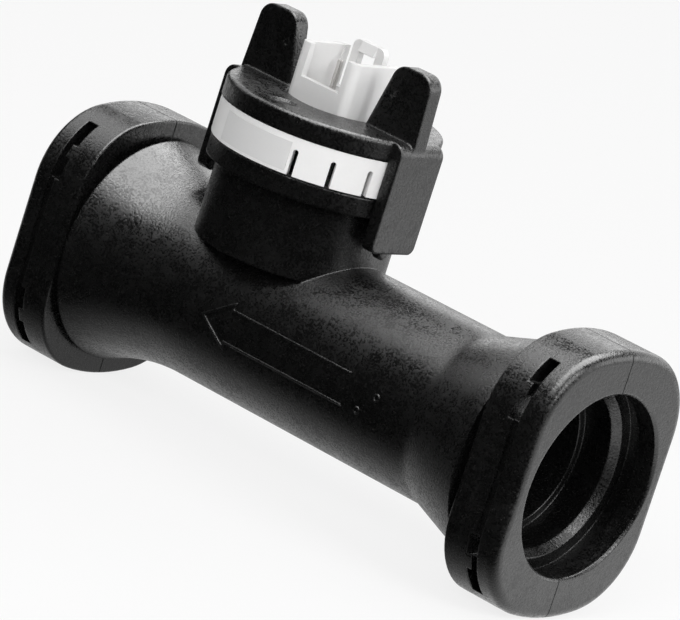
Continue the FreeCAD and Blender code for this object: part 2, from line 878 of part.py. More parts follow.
def build_plug_header(body):
    """The open header on the cover: socket, front window, latch tongue with its eye, and pin passages."""
    half_length = size("header_half_length")
    front = -size("header_front")
    back = size("header_back")
    block = new_sketch(body, "header_outline", "XY_Plane", cover_top, head_x)
    draw_rounded_rectangle(block, half_length, front, back, size("header_corner"))
    pad(body, "header", block, size("header_height"))

    wall = size("header_wall")
    inner_length = half_length - wall
    socket = new_sketch(body, "socket_outline", "XY_Plane", header_top, head_x)
    draw_rectangle(socket, -inner_length, front + wall, inner_length, back - wall)
    pocket(body, "socket", socket, size("socket_depth"))

    window = new_sketch(body, "front_window_outline", "XZ_Plane", -front, head_x)
    opening = half_length - size("header_rib")
    draw_rectangle(window, -opening, header_top - size("header_window_depth"), opening, header_top * PAST)
    pocket(body, "front_window", window, wall)

    gate = new_sketch(body, "latch_gate_outline", "XZ_Plane", -back, head_x)
    slot_end = size("latch_half_width") + size("latch_slot")
    slot_bottom = header_top - size("latch_slot_depth")
    draw_rectangle(gate, -slot_end, slot_bottom, slot_end, header_top * PAST)
    pocket(body, "latch_gate", gate, wall, reverse=True)

    tongue = new_sketch(body, "latch_outline", "XZ_Plane", -back, head_x)
    latch_top = header_top + size("latch_rise")
    draw_rectangle(tongue, -size("latch_half_width"), socket_floor, size("latch_half_width"), latch_top)
    pad(body, "latch", tongue, size("latch_thickness"))

    def is_latch_corner(edge):
        middle = edge.CenterOfMass
        return (runs_along(edge, 1) and is_near(middle.z, latch_top)
                and is_near(abs(middle.x - head_x.value), size("latch_half_width")))

    dress(body, "latch_corners", "Fillet", size("latch_corner"), is_latch_corner)

    eye = new_sketch(body, "latch_eye_outline", "XZ_Plane", -back, head_x)
    eye_top = latch_top - size("latch_bar")
    draw_rectangle(eye, -size("latch_eye_half_width"), eye_top - size("latch_eye_height"),
                   size("latch_eye_half_width"), eye_top)
    pocket(body, "latch_eye", eye, size("latch_thickness"), reverse=True)

    ramp = new_sketch(body, "latch_ramp_outline", "YZ_Plane", head_x - size("latch_eye_half_width"))
    latch_front = back - size("latch_thickness")
    draw_outline(ramp, [
        (latch_front, eye_top),
        (latch_front, latch_top),
        (latch_front - size("latch_ramp"), eye_top),
    ])
    pad(body, "latch_ramp", ramp, size("latch_eye_half_width") * 2.0)

    pins = new_sketch(body, "pin_passages_outline", "XY_Plane", socket_floor, head_x)
    draw_pin_row(pins)
    pocket(body, "pin_passages", pins, socket_floor - cover_top + size("cover_plate"))


def build_connector_cover():
    """The cover with its slotted skirt and the open plug header."""
    body = new_body("connector_cover")
    skirt_inner = size("skirt_radius") - size("skirt_wall")
    plate_bottom = cover_top - size("cover_plate")
    profile = new_sketch(body, "cover_profile", "XZ_Plane", 0.0, head_x)
    draw_outline(profile, [
        (0.0, plate_bottom),
        (skirt_inner, plate_bottom),
        (skirt_inner, skirt_bottom),
        (size("skirt_radius"), skirt_bottom),
        (size("skirt_radius"), cover_top),
        (size("pedestal_radius"), cover_top),
        (size("pedestal_radius"), cover_top + size("pedestal_height")),
        (0.0, cover_top + size("pedestal_height")),
    ])
    revolve(body, "cover", profile, "V_Axis")
    build_plug_header(body)

    recess = new_sketch(body, "arm_recess_outline", "XY_Plane", skirt_bottom, head_x)
    draw_side_pair(recess, arm_inner - size("fit_gap"), size("skirt_radius") * PAST,
                   size("arm_half_width") + size("fit_gap"))
    pocket(body, "arm_recess", recess, size("skirt_height"), reverse=True)

    half = size("skirt_slot_width") / 2.0
    slot_top = skirt_bottom + size("skirt_slot_height")
    for side, face in ((1.0, "front"), (-1.0, "back")):
        for index in range(int(round(size("skirt_slot_count").value))):
            angle = (size("skirt_slot_first") + size("skirt_slot_pitch") * float(index)) * side
            name = "skirt_slot_%s_%d" % (face, index + 1)
            slot = new_sketch(body, name + "_outline", "XZ_Plane", 0.0, head_x)
            turn_about_head(slot, angle)
            draw_outline(slot, [
                (-half, skirt_bottom - size("skirt_slot_width")),
                (half, skirt_bottom - size("skirt_slot_width")),
                (half, slot_top - half, half * ROUND_END, "right"),
                (-half, slot_top - half),
            ])
            pocket(body, name, slot, size("skirt_radius") * PAST, reverse=True)
    return body


def build_cover_gasket():
    """The thin ring between the neck's rim and the cover's skirt."""
    body = new_body("cover_gasket")
    outline = new_sketch(body, "gasket_outline", "XY_Plane", rim_top, head_x)
    inner = size("skirt_radius") - size("skirt_wall")
    draw_circle(outline, inner + size("gasket_width"))
    draw_circle(outline, inner)
    pad(body, "gasket", outline, size("gasket_thickness"))
    return body


def build_label_pad():
    """The bare label on the front of the skirt."""
    body = new_body("label_pad")
    outline = new_sketch(body, "label_section", "XZ_Plane", 0.0, head_x)
    inner = size("skirt_radius")
    turn_about_head(outline, size("label_middle") - size("label_sweep") / 2.0 - 90.0)
    bottom = skirt_bottom + size("label_margin")
    draw_rectangle(outline, inner, bottom, inner + size("label_thickness"), bottom + size("label_height"))
    feature = revolve(body, "label", outline, "V_Axis")
    bind(feature, "Angle", size("label_sweep"))
    document.recompute()
    return body


# Black clip cap: plate with the header's hole, two arms and two ears, one moulding

arm_bottom = rim_bottom - size("arm_reach")


def build_ear(body, name, side):
    """One upright ear of the cap."""
    sketch = new_sketch(body, name + "_outline", "XZ_Plane", -size("ear_front"), head_x)
    root = cap_top - size("arm_shoulder")
    top = cap_top + size("ear_height")
    inner = size("cap_hole_radius") + size("ear_root_gap")
    outer = arm_outer - size("ear_outer_inset")
    top_inner = inner + size("ear_inner_lean")
    top_outer = outer - size("ear_outer_lean")
    draw_outline(sketch, [
        (inner * side, root),
        (outer * side, root),
        (top_outer * side, top),
        (top_inner * side, top),
        (inner * side, cap_top),
    ])
    pad(body, name, sketch, size("ear_thickness"), reverse=True)

    def is_top_corner(edge):
        middle = edge.CenterOfMass
        return (runs_along(edge, 1) and is_near(middle.z, top)
                and (middle.x - head_x.value) * side > 0)

    corner = size("ear_corner").at_most((top_outer - top_inner) * CORNER_SHARE)
    dress(body, name + "_corners", "Fillet", corner, is_top_corner)


def build_head_cap():
    """The clip cap that holds the cover down on the neck."""
    body = new_body("head_cap")
    plate = new_sketch(body, "plate_outline", "XY_Plane", cover_top, head_x)
    draw_circle(plate, cap_radius)
    pad(body, "plate", plate, size("cap_thickness"))
    dress(body, "plate_edge", "Fillet", size("cap_edge"), lambda edge: lies_in(edge, 2, cap_top))

    arms = new_sketch(body, "arms_outline", "XY_Plane", arm_bottom, head_x)
    draw_side_pair(arms, arm_inner, arm_outer, size("arm_half_width"))
    pad(body, "arms", arms, cap_top - arm_bottom)
    webs = new_sketch(body, "webs_outline", "XY_Plane", cover_top, head_x)
    draw_side_pair(webs, size("cap_hole_radius") * PAST, arm_outer, size("arm_half_width"))
    pad(body, "webs", webs, size("cap_thickness"))

    def is_outer(edge, axis, z):
        middle = edge.CenterOfMass
        return (runs_along(edge, axis) and is_near(middle.z, z)
                and is_near(abs(middle.x - head_x.value), arm_outer))

    dress(body, "arm_shoulders", "Fillet", size("arm_shoulder"), lambda edge: is_outer(edge, 1, cap_top))

    def is_foot_corner(edge):
        middle = edge.CenterOfMass
        return (runs_along(edge, 0) and is_near(middle.z, arm_bottom)
                and is_near(abs(middle.y), size("arm_half_width")))

    dress(body, "arm_feet", "Fillet", size("arm_corner"), is_foot_corner)

    for name, side in (("left", -1.0), ("right", 1.0)):
        face = head_x + arm_inner * side
        pocket_sketch = new_sketch(body, name + "_arm_pocket_outline", "YZ_Plane", face)
        draw_rectangle(pocket_sketch, -size("arm_pocket_half_width"), rim_bottom - size("lug_height"),
                       size("arm_pocket_half_width"), rim_bottom + size("arm_pocket_headroom"))
        pocket(body, name + "_arm_pocket", pocket_sketch, size("arm_pocket_depth"), reverse=side > 0)

    hole = new_sketch(body, "header_hole_outline", "XY_Plane", cover_top, head_x)
    draw_circle(hole, size("cap_hole_radius"))
    pocket(body, "header_hole", hole, size("cap_thickness"), reverse=True)

    marks = new_sketch(body, "cap_marks_outline", "XY_Plane", cap_top, head_x)
    for side in (1.0, -1.0):
        draw_circle(marks, size("cap_mark_radius"), 0.0, size("cap_mark_place") * side)
    pocket(body, "cap_marks", marks, size("cap_mark_depth"))

    build_ear(body, "left_ear", -1.0)
    build_ear(body, "right_ear", 1.0)
    ear_marks = new_sketch(body, "ear_marks_outline", "XZ_Plane", -size("ear_front"), head_x)
    mark_place = size("cap_hole_radius") + size("ear_mark_inset")
    mark_level = cap_top + size("ear_height") - size("ear_mark_drop")
    for side in (1.0, -1.0):
        draw_circle(ear_marks, size("ear_mark_radius"), mark_place * side, mark_level)
    pocket(body, "ear_marks", ear_marks, size("ear_mark_depth"))
    return body


def build_all():
    """Builds every piece in order."""
    build_flow_tube()
    build_sensor_insert()
    build_sensing_paddle()
    build_piezo_strip()
    build_insert_seal()
    build_piezo_leads()
    build_board_carrier()
    build_circuit_board()
    build_board_parts()
    build_contact_pins()
    build_connector_cover()
    build_cover_gasket()
    build_label_pad()
    build_head_cap()


build_all()
document.recompute()

for item in document.Objects:
    if "Invalid" in item.State or "Error" in item.State:
        raise RuntimeError("%s: %s" % (item.Name, item.State))
os.makedirs("parts", exist_ok=True)
for piece in NODES:
    shape = piece.Shape
    if shape.isNull() or not shape.isValid():
        raise RuntimeError("%s has no valid shape" % piece.Label)
    shape.exportStep("parts/%s.step" % piece.Label)
    print("%-18s volume %10.2f solids %d" % (piece.Label, shape.Volume, len(shape.Solids)))
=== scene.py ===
"""Dresses the boiler flow sensor and sets up its studio view.

Metres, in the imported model's frame: +X runs along the tube from the outlet to the inlet, +Z runs up the
sensor head, and -Y is the side with the clip slots.
"""

import logging
import math
from collections.abc import Callable
from dataclasses import dataclass
from enum import Enum

import bpy
from mathutils import Matrix, Vector


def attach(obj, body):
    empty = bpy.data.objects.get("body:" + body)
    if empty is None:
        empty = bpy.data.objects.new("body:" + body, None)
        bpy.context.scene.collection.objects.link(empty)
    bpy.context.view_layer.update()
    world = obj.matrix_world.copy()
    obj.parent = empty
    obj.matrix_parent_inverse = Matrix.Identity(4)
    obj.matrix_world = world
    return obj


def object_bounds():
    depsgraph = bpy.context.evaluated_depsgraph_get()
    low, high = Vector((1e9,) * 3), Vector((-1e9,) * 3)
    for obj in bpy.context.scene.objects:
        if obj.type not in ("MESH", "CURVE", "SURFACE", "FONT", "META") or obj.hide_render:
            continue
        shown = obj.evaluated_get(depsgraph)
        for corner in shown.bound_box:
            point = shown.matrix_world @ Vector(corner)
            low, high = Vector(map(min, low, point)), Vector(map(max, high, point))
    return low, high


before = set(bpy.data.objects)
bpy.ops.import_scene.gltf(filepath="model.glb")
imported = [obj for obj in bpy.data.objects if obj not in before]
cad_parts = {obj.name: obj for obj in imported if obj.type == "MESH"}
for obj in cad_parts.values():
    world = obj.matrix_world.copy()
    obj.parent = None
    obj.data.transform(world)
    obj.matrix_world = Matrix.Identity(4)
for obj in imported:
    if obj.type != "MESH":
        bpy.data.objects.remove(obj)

MM = 0.001
CAD_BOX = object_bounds()
LOG = logging.getLogger("flow_sensor")

Colour = tuple[float, float, float, float]
Socket = bpy.types.NodeSocket


class Pattern(Enum):
    """How a finish breaks up its colour."""

    GRAIN = "grain"
    CLOUD = "cloud"
    BRUSHED = "brushed"


class ShaderGraph:
    """The node tree of one material, with short calls that add and join its nodes."""

    # The Mix node keeps its colour sockets at these places, behind those for numbers.
    MIX_FIRST, MIX_SECOND, MIX_RESULT = 6, 7, 2

    def __init__(self, name: str) -> None:
        """Makes a material that holds one shader.

        Args:
            name: The material's name.
        """
        self.material = bpy.data.materials.new(name)
        self.material.use_nodes = True
        self.tree = self.material.node_tree
        self.tree.nodes.clear()
        self.output = self.add("ShaderNodeOutputMaterial")
        self.shader = self.add("ShaderNodeBsdfPrincipled")
        self.join(self.shader.outputs["BSDF"], self.output.inputs["Surface"])
        self.place = self.add("ShaderNodeTexCoord").outputs["Object"]

    def add(self, kind: str, **settings: object) -> bpy.types.Node:
        """Adds a node.

        Args:
            kind: The node's type.
            settings: Attributes to set on it.

        Returns:
            The node.
        """
        node = self.tree.nodes.new(kind)
        for name, value in settings.items():
            setattr(node, name, value)
        return node

    def join(self, source: Socket, target: Socket) -> None:
        """Links an output to an input."""
        self.tree.links.new(source, target)

    def feed(self, target: Socket, value: object) -> None:
        """Links a socket to an input, or sets the input where the value is a constant.

        Args:
            target: The input.
            value: The output to link, or the constant.
        """
        if isinstance(value, Socket):
            self.join(value, target)
        else:
            target.default_value = value

    def math(self, operation: str, first: object, second: object = 0.0) -> Socket:
        """One arithmetic step.

        Args:
            operation: The math node's operation.
            first: A socket or a number.
            second: A socket or a number.

        Returns:
            The result's socket.
        """
        node = self.add("ShaderNodeMath", operation=operation)
        self.feed(node.inputs[0], first)
        self.feed(node.inputs[1], second)
        return node.outputs[0]

    def axis(self, name: str) -> Socket:
        """The object's own coordinate along one axis.

        Args:
            name: X, Y or Z.

        Returns:
            The coordinate's socket, in metres.
        """
        split = self.add("ShaderNodeSeparateXYZ")
        self.join(self.place, split.inputs[0])
        return split.outputs[name]

    def span(self, source: Socket, low: float, high: float, start: float, end: float) -> Socket:
        """Maps a range smoothly onto another.

        Args:
            source: The value to map.
            low: The value that gives start.
            high: The value that gives end.
            start: The first result.
            end: The last result.

        Returns:
            The mapped value's socket.
        """
        node = self.add("ShaderNodeMapRange", interpolation_type="SMOOTHSTEP")
        self.join(source, node.inputs["Value"])
        for name, value in (("From Min", low), ("From Max", high), ("To Min", start), ("To Max", end)):
            node.inputs[name].default_value = value
        return node.outputs["Result"]

    def noise(self, feature: float, detail: float = 3.0,
              stretch: tuple[float, float, float] = (1, 1, 1)) -> Socket:
        """Fractal noise on the object's own coordinates.

        Args:
            feature: The size of a lump, in metres.
            detail: Octaves.
            stretch: Factors that squeeze the pattern along each axis.

        Returns:
            The noise value's socket.
        """
        mapping = self.add("ShaderNodeMapping")
        self.join(self.place, mapping.inputs["Vector"])
        mapping.inputs["Scale"].default_value = stretch
        node = self.add("ShaderNodeTexNoise")
        self.join(mapping.outputs["Vector"], node.inputs["Vector"])
        node.inputs["Scale"].default_value = 1.0 / feature
        node.inputs["Detail"].default_value = detail
        return node.outputs["Fac"]

    def blend(self, factor: object, first: object, second: object) -> Socket:
        """Mixes two colours.

        Args:
            factor: How much of the second, as a socket or a number.
            first: A colour or its socket.
            second: A colour or its socket.

        Returns:
            The mixed colour's socket.
        """
        node = self.add("ShaderNodeMix", data_type="RGBA")
        self.feed(node.inputs[0], factor)
        self.feed(node.inputs[self.MIX_FIRST], first)
        self.feed(node.inputs[self.MIX_SECOND], second)
        return node.outputs[self.MIX_RESULT]

    def bump(self, height: Socket, depth: float, normal: Socket) -> Socket:
        """Turns a height into a normal.

        Args:
            height: The height, from 0 to 1.
            depth: The height of a full step, in metres.
            normal: The normal that it is added to.

        Returns:
            The new normal's socket.
        """
        node = self.add("ShaderNodeBump")
        node.inputs["Distance"].default_value = depth
        self.join(height, node.inputs["Height"])
        self.join(normal, node.inputs["Normal"])
        return node.outputs["Normal"]

    def soft_edges(self, radius: object) -> Socket:
        """A normal that rounds every sharp edge.

        Args:
            radius: The edge's radius in metres, as a socket or a number.

        Returns:
            The rounded normal's socket.
        """
        node = self.add("ShaderNodeBevel", samples=8)
        self.feed(node.inputs["Radius"], radius)
        return node.outputs["Normal"]


def tone(level: float, warmth: float = 0.0) -> Colour:
    """A near-neutral colour.

    Args:
        level: Its lightness, linear.
        warmth: How far red rises above blue, as a share of the level.

    Returns:
        The colour with its alpha.
    """
    return (level * (1 + warmth), level, level * (1 - warmth), 1.0)


@dataclass(frozen=True)
class Finish:
    """A solid finish whose colour, roughness and surface vary over the piece.

    Attributes:
        name: The material's name.
        colour: The middle colour.
        roughness: The middle roughness.
        feature: The size of one lump of the pattern, in metres.
        relief: The depth of the surface's texture, in metres.
        contrast: How far the colour varies, as a share.
        metallic: 1 for bare metal.
        edge: The radius given to sharp edges, in metres.
        pattern: How the colour is broken up.
        specular: The strength of the surface's reflection; 0.5 is a smooth surface's.
        sway: How far the roughness varies to either side.
    """

    name: str
    colour: Colour
    roughness: float = 0.5
    feature: float = 0.4 * MM
    relief: float = 0.01 * MM
    contrast: float = 0.15
    metallic: float = 0.0
    edge: float = 0.12 * MM
    pattern: Pattern = Pattern.GRAIN
    specular: float = 0.5
    sway: float = 0.06

    def lumps(self, graph: ShaderGraph) -> Socket:
        """The value that drives the finish's variation.

        Args:
            graph: The material's tree.

        Returns:
            The value's socket.
        """
        if self.pattern is Pattern.BRUSHED:
            return graph.noise(self.feature, 4.0, (1.0, 1.0, 0.06))
        if self.pattern is Pattern.CLOUD:
            return graph.noise(self.feature * 6.0, 5.0)
        return graph.noise(self.feature, 3.0)

    def material(self) -> bpy.types.Material:
        """Builds the material.

        Returns:
            The material.
        """
        graph = ShaderGraph(self.name)
        lumps = self.lumps(graph)
        dark = tuple(channel * (1 - self.contrast) for channel in self.colour[:3]) + (1.0,)
        light = tuple(min(channel * (1 + self.contrast), 1.0) for channel in self.colour[:3]) + (1.0,)
        rough = graph.span(lumps, 0.3, 0.7, self.roughness - self.sway, self.roughness + self.sway)
        normal = graph.bump(lumps, self.relief, graph.soft_edges(self.edge))
        graph.join(graph.blend(lumps, dark, light), graph.shader.inputs["Base Color"])
        graph.join(rough, graph.shader.inputs["Roughness"])
        graph.join(normal, graph.shader.inputs["Normal"])
        graph.shader.inputs["Metallic"].default_value = self.metallic
        graph.shader.inputs["Specular IOR Level"].default_value = self.specular
        return graph.material


@dataclass(frozen=True)
class MouldedNylon(Finish):
    """Black glass-filled nylon: fine grain, faint flow clouds and the mould's parting line.

    Attributes:
        fleck: The size of a glass fleck, in metres.
        fleck_level: The lightness of a fleck.
        cloud: The size of a flow cloud, in metres.
        grain_sway: How far the grain moves the roughness to either side.
        mottle_sway: How far coarser lumps, five grains wide, move it.
        cloud_sway: How far the clouds move it.
        refraction: The refractive index.
        seam_reach: Half the width of the parting line on the plane y = 0, in metres; 0 for none.
        seam_radius: How far from the tube's axis the line starts to show, in metres.
        seam_middle: The tube's middle along X, in metres.
        seam_start: How far from that middle the line starts to show, which is where a collar begins.
        seam_full: How far from that middle it shows in full.
        seam_depth: The line's depth, in metres.
        blend_place: Where the tube's straight part meets the inlet's cone, along X; 0 for no such place.
        blend_radius: How widely that bend is rounded, in metres.
    """

    fleck: float = 0.16 * MM
    fleck_level: float = 0.09
    cloud: float = 9.0 * MM
    grain_sway: float = 0.13
    mottle_sway: float = 0.06
    cloud_sway: float = 0.04
    refraction: float = 1.55
    seam_reach: float = 0.0
    seam_radius: float = 14.2 * MM
    seam_middle: float = 50.5 * MM
    seam_start: float = 39.6 * MM
    seam_full: float = 40.2 * MM
    seam_depth: float = 0.14 * MM
    blend_place: float = 0.0
    blend_radius: float = 3.0 * MM

    def edges(self, graph: ShaderGraph) -> Socket:
        """The rounded normal: small at sharp edges, wide where the tube's barrel runs into its cone.

        Args:
            graph: The material's tree.

        Returns:
            The normal's socket.
        """
        if self.blend_place <= 0:
            return graph.soft_edges(self.edge)
        # The wide rounding reaches its own width to either side of the bend, then runs out.
        away = graph.math("ABSOLUTE", graph.math("SUBTRACT", graph.axis("X"), self.blend_place))
        wide = self.blend_radius
        return graph.soft_edges(graph.span(away, wide, wide * 1.5, wide, self.edge))

    def seam(self, graph: ShaderGraph) -> Socket:
        """A value that is 1 on the parting line and 0 elsewhere.

        Args:
            graph: The material's tree.

        Returns:
            The value's socket.
        """
        side = graph.math("ABSOLUTE", graph.axis("Y"))
        line = graph.span(side, self.seam_reach * 0.5, self.seam_reach, 1.0, 0.0)
        from_middle = graph.math("ABSOLUTE", graph.math("SUBTRACT", graph.axis("X"), self.seam_middle))
        on_collar = graph.span(from_middle, self.seam_start, self.seam_full, 0.0, 1.0)
        height = graph.math("ABSOLUTE", graph.axis("Z"))
        outside = graph.span(height, self.seam_radius, self.seam_radius + 0.1 * MM, 0.0, 1.0)
        return graph.math("MULTIPLY", line, graph.math("MULTIPLY", on_collar, outside))

    def material(self) -> bpy.types.Material:
        """Builds the material.

        Returns:
            The material.
        """
        graph = ShaderGraph(self.name)
        grain = graph.noise(self.feature, 6.0)
        mottle = graph.noise(self.feature * 5.0, 3.0)
        cloud = graph.noise(self.cloud, 3.0)
        level = self.colour[0]
        base = graph.blend(cloud, tone(level * (1 - self.contrast)), tone(level * (1 + self.contrast)))
        # Only the noise's peaks are flecks, and a fleck lies half under the nylon's skin.
        fleck = graph.span(graph.noise(self.fleck, 1.0), 0.66, 0.78, 0.0, 0.5)
        colour = graph.blend(fleck, base, tone(self.fleck_level, 0.02))
        speckle = graph.math("ADD", graph.span(grain, 0.32, 0.68, -self.grain_sway, self.grain_sway),
                             graph.span(mottle, 0.3, 0.7, -self.mottle_sway, self.mottle_sway))
        rough = graph.math("ADD", speckle, graph.span(cloud, 0.3, 0.7, self.roughness - self.cloud_sway,
                                                      self.roughness + self.cloud_sway))
        normal = graph.bump(grain, self.relief, self.edges(graph))
        if self.seam_reach > 0:
            # The line is a dull groove, and its colour is darkened as painted shade inside the groove.
            line = self.seam(graph)
            colour = graph.blend(graph.math("MULTIPLY", line, 0.85), colour, tone(level * 0.3))
            rough = graph.math("MAXIMUM", rough, graph.math("MULTIPLY", line, 0.95))
            normal = graph.bump(graph.math("SUBTRACT", 1.0, line), self.seam_depth, normal)
        graph.shader.inputs["IOR"].default_value = self.refraction
        graph.join(colour, graph.shader.inputs["Base Color"])
        graph.join(rough, graph.shader.inputs["Roughness"])
        graph.join(normal, graph.shader.inputs["Normal"])
        return graph.material


TUBE_NYLON = MouldedNylon("tube_black", tone(0.0035), 0.29, 0.32 * MM, 0.05 * MM, 0.3, edge=0.35 * MM,
                          seam_reach=0.16 * MM, blend_place=77.6 * MM)
CAP_NYLON = MouldedNylon("cap_black", tone(0.0035), 0.3, 0.36 * MM, 0.07 * MM, 0.3, edge=0.7 * MM)
COVER_POLYESTER = Finish("cover_white", tone(0.74, 0.004), 0.5, 0.5 * MM, 0.006 * MM, 0.02, edge=0.16 * MM,
                         specular=0.28)
LABEL_FILM = Finish("label_white", tone(0.62, 0.002), 0.6, 0.2 * MM, 0.004 * MM, 0.03, edge=0.05 * MM)
INSERT_PLASTIC = Finish("insert_grey", tone(0.09), 0.5, 0.4 * MM, 0.01 * MM, 0.2)
PADDLE_COAT = Finish("paddle_black", tone(0.03), 0.7, 0.3 * MM, 0.02 * MM, 0.25)
SEAL_RUBBER = Finish("seal_black", tone(0.02), 0.62, 0.5 * MM, 0.01 * MM, 0.3)
PIEZO_CERAMIC = Finish("piezo_ceramic", tone(0.42, 0.08), 0.55, 0.25 * MM, 0.01 * MM, 0.1)
LEAD_WIRE = Finish("lead_copper", (0.72, 0.42, 0.25, 1.0), 0.3, 0.2 * MM, 0.004 * MM, 0.1, metallic=1.0,
                   pattern=Pattern.BRUSHED)
CARRIER_PLASTIC = Finish("carrier_plastic", tone(0.45, 0.02), 0.5, 0.5 * MM, 0.01 * MM, 0.06)
BOARD_LACQUER = Finish("board_green", (0.03, 0.17, 0.07, 1.0), 0.35, 1.2 * MM, 0.008 * MM, 0.2,
                       pattern=Pattern.CLOUD)
CHIP_EPOXY = Finish("chip_black", tone(0.02), 0.55, 0.12 * MM, 0.01 * MM, 0.2)
CAPACITOR_BODY = Finish("component_tan", (0.42, 0.3, 0.18, 1.0), 0.5, 0.2 * MM, 0.008 * MM, 0.12)
PIN_TIN = Finish("pin_tin", tone(0.66, 0.02), 0.28, 0.3 * MM, 0.004 * MM, 0.08, metallic=1.0,
                 pattern=Pattern.BRUSHED)


class Dresser:
    """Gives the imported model's nodes their finishes, each material built once."""

    def __init__(self) -> None:
        """Starts with no material."""
        self.made: dict[str, bpy.types.Material] = {}

    def get(self, finish: Finish) -> bpy.types.Material:
        """The finish's material, built on its first use.

        Args:
            finish: The finish.

        Returns:
            The material.
        """
        if finish.name not in self.made:
            self.made[finish.name] = finish.material()
        return self.made[finish.name]

    def dress(self, piece: bpy.types.Object, finish: Finish) -> None:
        """Sets every material slot of a piece.

        Args:
            piece: The object.
            finish: Its finish.
        """
        material = self.get(finish)
        if not piece.material_slots:
            piece.data.materials.append(material)
        for place in piece.material_slots:
            place.material = material


class Bench:
    """The steps that every modelled piece goes through."""

    SMOOTH_BELOW = math.radians(35)
    BEVEL_ABOVE = math.radians(50)

    def __init__(self, dresser: Dresser) -> None:
        """Keeps the dresser that gives the pieces their finish."""
        self.dresser = dresser

    def clear(self) -> None:
        """Leaves nothing selected, before a new primitive."""
        bpy.ops.object.select_all(action="DESELECT")

    def edit_faces(self, piece: bpy.types.Object, chosen: Callable[[bpy.types.MeshPolygon], bool]) -> None:
        """Enters edit mode with the faces that a test picks selected.

        Args:
            piece: The object.
            chosen: The test of one face.
        """
        bpy.context.tool_settings.mesh_select_mode = (False, False, True)
        for kind in (piece.data.vertices, piece.data.edges):
            for item in kind:
                item.select = False
        for face in piece.data.polygons:
            face.select = chosen(face)
        bpy.ops.object.mode_set(mode="EDIT")

    def leave(self) -> None:
        """Goes back to object mode."""
        bpy.ops.object.mode_set(mode="OBJECT")

    def modify(self, piece: bpy.types.Object, kind: str, **settings: object) -> None:
        """Adds a modifier and applies it.

        Args:
            piece: The object.
            kind: The modifier's type.
            settings: Attributes to set on it.
        """
        modifier = piece.modifiers.new(kind.lower(), kind)
        for name, value in settings.items():
            setattr(modifier, name, value)
        bpy.ops.object.modifier_apply(modifier=modifier.name)

    def wear_edges(self, piece: bpy.types.Object, width: float, segments: int) -> None:
        """Rounds the sharp edges of a piece.

        Args:
            piece: The object.
            width: The rounding's width, in metres.
            segments: How many faces it has.
        """
        self.modify(piece, "BEVEL", width=width, segments=segments, limit_method="ANGLE",
                    angle_limit=self.BEVEL_ABOVE)

    def finish(self, piece: bpy.types.Object, name: str, finish: Finish) -> bpy.types.Object:
        """Turns the faces outwards, smooths, names and dresses a piece, and lets it ride on the sensor.

        Args:
            piece: The object.
            name: Its name.
            finish: Its finish.

        Returns:
            The piece.
        """
        bpy.ops.object.mode_set(mode="EDIT")
        bpy.ops.mesh.select_all(action="SELECT")
        bpy.ops.mesh.normals_make_consistent(inside=False)
        self.leave()
        bpy.ops.object.shade_smooth_by_angle(angle=self.SMOOTH_BELOW)
        piece.name = name
        self.dresser.dress(piece, finish)
        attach(piece, "root")
        LOG.info("modelled %s with %d faces", name, len(piece.data.polygons))
        return piece


